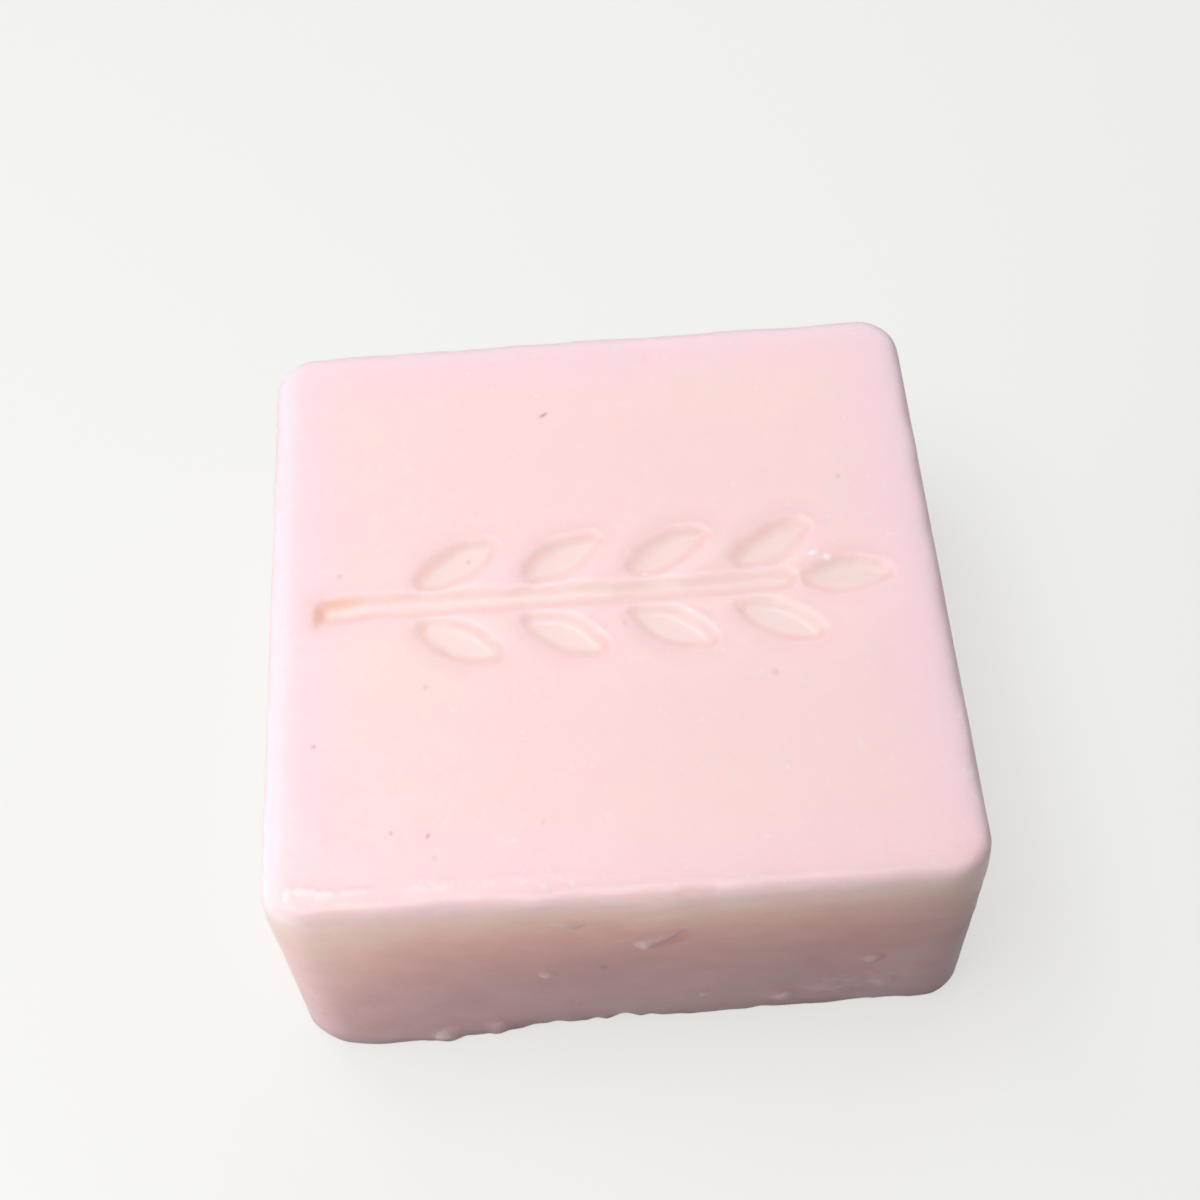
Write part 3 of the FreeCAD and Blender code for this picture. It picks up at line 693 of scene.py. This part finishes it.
def make_cast_conditioner():
    """Solid hair conditioner, a waxy fatty alcohol poured into a mould.

    It is milky and lets light in, so its edges glow and its hollows stay soft, under a skin with the
    dull sheen of wax. Some light and shade is painted into its colour as well: shade low on the walls,
    a glow under the top edge, a sheen on the top's outline, and shade round the sprig and in its
    hollows.
    """
    material = bpy.data.materials.new("cast_conditioner")
    material.use_nodes = True
    tree = material.node_tree
    tree.nodes.clear()
    place = add(tree, "ShaderNodeTexCoord").outputs["Object"]
    at = add(tree, SEPARATE, {0: place}).outputs
    names = ("pressed", "near_sprig", "near_edge", "peach", "scuffs_and_glints", "speckled", "stained", "porous")
    pressed, near_sprig, near_edge, peach, scuffs_and_glints, speckled, stained, porous = [
        add(tree, "ShaderNodeAttribute", attribute_name=name).outputs["Fac"] for name in names
    ]

    # The walls are painted darker and more mauve at the foot and warmer under the top edge: painted
    # shade and painted glow. The top's outline is painted palest, as a sheen, and behind the front the
    # sheen is lilac.
    rise = {"Value": at["Z"], "From Min": GLOW_PAINT_START * MM, "From Max": GLOW_PAINT_FULL * MM}
    painted_glow_rise = add(tree, RANGE, rise, interpolation_type="SMOOTHSTEP")
    rise = {"Value": at["Z"], "From Min": CREST_START * MM, "From Max": CREST_FULL * MM}
    crest = add(tree, RANGE, rise)
    painted_sheen_band = add(tree, MATHS, {0: near_edge, 1: crest}, operation="MULTIPLY")
    rim = add(tree, MATHS, {0: painted_sheen_band, 1: RIM_POWER}, operation="POWER")
    back = {"Value": at["Y"], "From Min": LILAC_SHEEN_START * MM, "From Max": LILAC_SHEEN_FULL * MM}
    behind = add(tree, RANGE, back)
    painted_lilac_sheen = add(tree, MATHS, {0: painted_sheen_band, 1: behind}, operation="MULTIPLY")
    inside = add(tree, MATHS, {0: 1.0, 1: near_edge}, operation="SUBTRACT")
    warmer = add(tree, MATHS, {0: peach, 1: inside}, operation="MULTIPLY")
    slight = add(tree, MATHS, {0: warmer, 1: PEACH_SHARE}, operation="MULTIPLY")

    # Light travels furthest in the wall just under the top edge, where it makes a warm glow
    wall = add(tree, MATHS, {0: 1.0, 1: crest}, operation="SUBTRACT")
    glow = add(tree, MATHS, {0: painted_glow_rise, 1: wall}, operation="MULTIPLY")
    reach = {"Value": glow, "To Min": LIGHT_REACH * MM, "To Max": GLOW_REACH * MM}
    clear = add(tree, RANGE, reach)
    dense = add(tree, RANGE, {"Value": painted_sheen_band, "To Min": 1.0, "To Max": BRIM_REACH})
    reddest = add(tree, RANGE, {"Value": glow, "To Min": RED_REACH, "To Max": RED_GLOW_REACH})
    spread = add(tree, COMBINE, {"X": reddest, "Y": 1.0, "Z": BLUE_REACH})

    # Painted shade on the skin round the sprig, and on the sides of its hollows
    outside = add(tree, MATHS, {0: 1.0, 1: pressed}, operation="SUBTRACT")
    around = add(tree, MATHS, {0: near_sprig, 1: outside}, operation="MULTIPLY")
    halo = add(tree, MATHS, {0: around, 1: SPRIG_SHADE_SHARE}, operation="MULTIPLY")
    side = add(tree, MATHS, {0: pressed, 1: outside}, operation="MULTIPLY")

    # Mottling wider than it is tall, mostly on the walls, where the bar came out of its mould
    across = 1 / (MOTTLE_ACROSS * MM)
    waves = {0: place, 1: (across, across, 1 / (MOTTLE_UP * MM))}
    waves = add(tree, VECTORS, waves, operation="MULTIPLY")
    mottle = add(tree, NOISE, {"Vector": waves, "Scale": 1.0, "Detail": 4.0, "Roughness": 0.6})
    patchy = {"Value": mottle, "From Min": 0.35, "From Max": 0.65, "To Max": MOTTLE_SHARE}
    patchy = add(tree, RANGE, patchy)
    fade = {"Value": at["Z"], "From Min": FADE_START * MM, "From Max": FADE_END * MM}
    walls = add(tree, RANGE, fade | {"To Min": 1.0, "To Max": TOP_MOTTLE})
    streaky = add(tree, MATHS, {0: patchy, 1: walls}, operation="MULTIPLY")

    # Scuffs and the painted glints have crumbled edges and let less light in, and the lowest and
    # highest are the whitest
    crumble = {"Vector": place, "Scale": 1 / (CRUMB * MM), "Detail": 3.0, "Roughness": 0.6}
    crumble = add(tree, NOISE, crumble)
    torn = add(tree, MATHS, {0: crumble, 1: RAGGED, 2: scuffs_and_glints}, operation="MULTIPLY_ADD")
    flaky = add(tree, RANGE, {"Value": torn, "From Min": SCUFF_START, "From Max": SCUFF_FULL})
    low = {"Value": at["Z"], "From Min": CHALK_FULL * MM, "From Max": CHALK_END * MM}
    foot = add(tree, RANGE, low | {"To Min": 1.0, "To Max": 0.0})
    ends = add(tree, MATHS, {0: crest, 1: foot}, operation="MAXIMUM")
    chalky = add(tree, MATHS, {0: flaky, 1: ends}, operation="MULTIPLY")
    milky = add(tree, RANGE, {"Value": flaky, "To Min": 1.0, "To Max": SCUFF_REACH})
    shallow = add(tree, MATHS, {0: dense, 1: milky}, operation="MULTIPLY")
    depth = add(tree, MATHS, {0: clear, 1: shallow}, operation="MULTIPLY")

    # Pores: small bubbles cut open at the surface, half a millimetre wide, most of them near the front
    cells = {"Vector": place, "Scale": 1 / (PORE_CELL * MM)}
    cells = add(tree, "ShaderNodeTexVoronoi", cells).outputs
    chance = add(tree, SEPARATE, {0: cells["Color"]}).outputs["X"]
    few = add(tree, MATHS, {0: porous, 1: chance}, operation="GREATER_THAN")
    bubble = {"Value": cells["Distance"], "From Min": PORE_MIDDLE, "From Max": PORE_RIM}
    bubble = add(tree, RANGE, bubble | {"To Min": PORE_SHARE, "To Max": 0.0})
    pore = add(tree, MATHS, {0: bubble, 1: few}, operation="MULTIPLY")

    # The colours, from the foot of the wall up: each covers the ones before it by its share. The first,
    # at the foot of the wall, is painted darker and more mauve, as shade.
    body = linear("#E6BFC0")
    layers = [
        # Painted glow, warmer going up the wall
        (painted_glow_rise, "#FBCCBE"),
        (crest, "#FED4D2"),
        # Painted sheen on the top's outline, its very edge, and its lilac part behind the front
        (painted_sheen_band, "#F9D2D1"),
        (rim, "#F5CDCD"),
        (painted_lilac_sheen, "#F9D3D8"),
        (slight, "#FDD8CF"),
        # Painted shade round the sprig
        (halo, "#E4C2C6"),
        (pressed, "#FFDEDA"),
        # Painted shade on the sides of the hollows
        (side, "#E8BFB2"),
        (streaky, "#C9A6A6"),
        (flaky, "#FFD6D0"),
        (chalky, "#FFE2E3"),
        (stained, "#DFA878"),
        (speckled, "#6E4F4C"),
        (pore, "#FFE4E2"),
    ]
    for share, colour in layers:
        mixed = add(tree, "ShaderNodeMix", {0: share, 6: body, 7: linear(colour)}, data_type="RGBA")
        body = mixed.outputs[2]

    # Skin: a low swell with finer grain on it, duller where it is mottled or scuffed
    swell = {"Vector": place, "Scale": 1 / (SWELL * MM), "Detail": 3.0, "Roughness": 0.6}
    height = {"Height": add(tree, NOISE, swell), "Distance": SWELL_HEIGHT * MM}
    relief = add(tree, "ShaderNodeBump", height | {"Strength": SWELL_STRENGTH})
    dull = {"Value": mottle, "From Min": 0.3, "From Max": 0.7}
    dull = add(tree, RANGE, dull | {"To Min": GLOSSIEST, "To Max": DULLEST})
    roughness = add(tree, MATHS, {0: flaky, 1: SCUFF_DULL, 2: dull}, operation="MULTIPLY_ADD")
    surface = {
        "Base Color": body,
        "Roughness": roughness,
        "Normal": relief,
        "IOR": WAX_IOR,
        "Subsurface Weight": 1.0,
        "Subsurface Radius": spread,
        "Subsurface Scale": depth,
    }
    shader = add(tree, "ShaderNodeBsdfPrincipled", surface)
    add(tree, "ShaderNodeOutputMaterial", {"Surface": shader})
    return material


# --- camera ---------------------------------------------------------------------------------------

# What the camera looks at, from how far, and how it is turned; its sensor and lens, in millimetres; and
# how near it sees
CAMERA_TARGET = Vector((-0.43, 7.4, 13.25)) * MM
CAMERA_DISTANCE = 179.48 * MM
CAMERA_AZIMUTH = math.radians(0.46)
CAMERA_ELEVATION = math.radians(57.73)
CAMERA_ROLL = math.radians(-3.79)
CAMERA_SENSOR = 36.0
CAMERA_LENS = 55.9
CAMERA_NEAREST = 10 * MM


def aim(forward):
    """The turn that points a camera or a lamp along a direction."""
    return forward.to_track_quat("-Z", "Y").to_matrix().to_4x4()


def place_camera():
    """Above the front edge of the bar, looking down at its face, tipped a little to one side."""
    forward = Vector(
        (
            math.sin(CAMERA_AZIMUTH) * math.cos(CAMERA_ELEVATION),
            math.cos(CAMERA_AZIMUTH) * math.cos(CAMERA_ELEVATION),
            -math.sin(CAMERA_ELEVATION),
        )
    )
    data = bpy.data.cameras.new("camera")
    data.sensor_width = CAMERA_SENSOR
    data.lens = CAMERA_LENS
    data.clip_start = CAMERA_NEAREST
    camera = link(bpy.data.objects.new("camera", data))
    place = Matrix.Translation(CAMERA_TARGET - forward * CAMERA_DISTANCE)
    turn = aim(forward) @ Matrix.Rotation(CAMERA_ROLL, 4, "Z")
    camera.matrix_world = place @ turn
    bpy.context.scene.camera = camera


# --- light and floor ------------------------------------------------------------------------------

PALE = "#F1F0EC"
# The colour of the light that the floor sends up at the bar, how much of its own look is glow, so that
# its shadows stay soft, and how far it reaches, in metres
BOUNCE = "#8E6A74"
FLOOR_GLOW = 0.72
FLOOR_REACH = 3.0
ROOM_LEVEL = 0.06

# Soft lamps aimed at the origin: place and width in metres, power in watts, and colour
LAMPS = {
    "softbox": ((-0.11, -0.02, 0.43), 0.35, 1.63, "#FBFFFF"),
    "sheen": ((-0.16, 0.17, 0.38), 0.14, 0.30, "#EEF4FF"),
    "low_fill": ((-0.085, -0.09, 0.010), 0.06, 0.040, "#FFFFFF"),
    "far_fill": ((0.14, 0.28, 0.22), 0.30, 0.27, "#E4EDFF"),
    "side_fill": ((-0.29, 0.02, 0.06), 0.20, 0.35, "#F5F3FC"),
}


def seen_directly(tree):
    """1 for what the camera sees, itself or in a gloss, and 0 for the light that reaches the bar."""
    path = add(tree, "ShaderNodeLightPath").outputs
    rays = {0: path["Is Camera Ray"], 1: path["Is Glossy Ray"]}
    return add(tree, MATHS, rays, operation="MAXIMUM")


def make_floor():
    """A plain pale floor that keeps a soft shadow."""
    data = bpy.data.meshes.new("floor")
    corners = [(-1, -1), (1, -1), (1, 1), (-1, 1)]
    data.from_pydata([(x * FLOOR_REACH, y * FLOOR_REACH, 0) for x, y in corners], [], [(0, 1, 2, 3)])
    floor = link(bpy.data.objects.new("floor", data))
    material = bpy.data.materials.new("floor_paper")
    material.use_nodes = True
    tree = material.node_tree
    tree.nodes.clear()
    seen = seen_directly(tree)
    colours = {0: seen, 6: linear(BOUNCE), 7: linear(PALE)}
    colour = add(tree, "ShaderNodeMix", colours, data_type="RGBA")
    diffuse = add(tree, "ShaderNodeBsdfDiffuse", {"Color": colour.outputs[2]})
    glow = add(tree, "ShaderNodeEmission", {"Color": linear(PALE)})
    share = add(tree, MATHS, {0: seen, 1: FLOOR_GLOW}, operation="MULTIPLY")
    both = add(tree, "ShaderNodeMixShader", {0: share, 1: diffuse, 2: glow})
    add(tree, "ShaderNodeOutputMaterial", {"Surface": both})
    data.materials.append(material)


def make_light():
    """A pale room, and the lamps."""
    world = bpy.data.worlds.new("room")
    bpy.context.scene.world = world
    world.use_nodes = True
    tree = world.node_tree
    tree.nodes.clear()
    seen = seen_directly(tree)
    dim = add(tree, "ShaderNodeBackground", {"Color": linear("#FFFFFF"), "Strength": ROOM_LEVEL})
    pale = add(tree, "ShaderNodeBackground", {"Color": linear(PALE), "Strength": 1.0})
    both = add(tree, "ShaderNodeMixShader", {0: seen, 1: dim, 2: pale})
    add(tree, "ShaderNodeOutputWorld", {"Surface": both})
    for name, (place, size, energy, colour) in LAMPS.items():
        data = bpy.data.lights.new(name, "AREA")
        data.shape = "DISK"
        data.size = size
        data.energy = energy
        data.color = linear(colour)[:3]
        lamp = link(bpy.data.objects.new(name, data))
        lamp.visible_camera = False
        place = Vector(place)
        lamp.matrix_world = Matrix.Translation(place) @ aim(-place)


bpy.context.scene.view_settings.view_transform = "Standard"
place_camera()
make_floor()
make_light()
bar = shape(make_blank(), make_cast_conditioner())
wear(bar)
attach(bar, "root")
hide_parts(NODE)
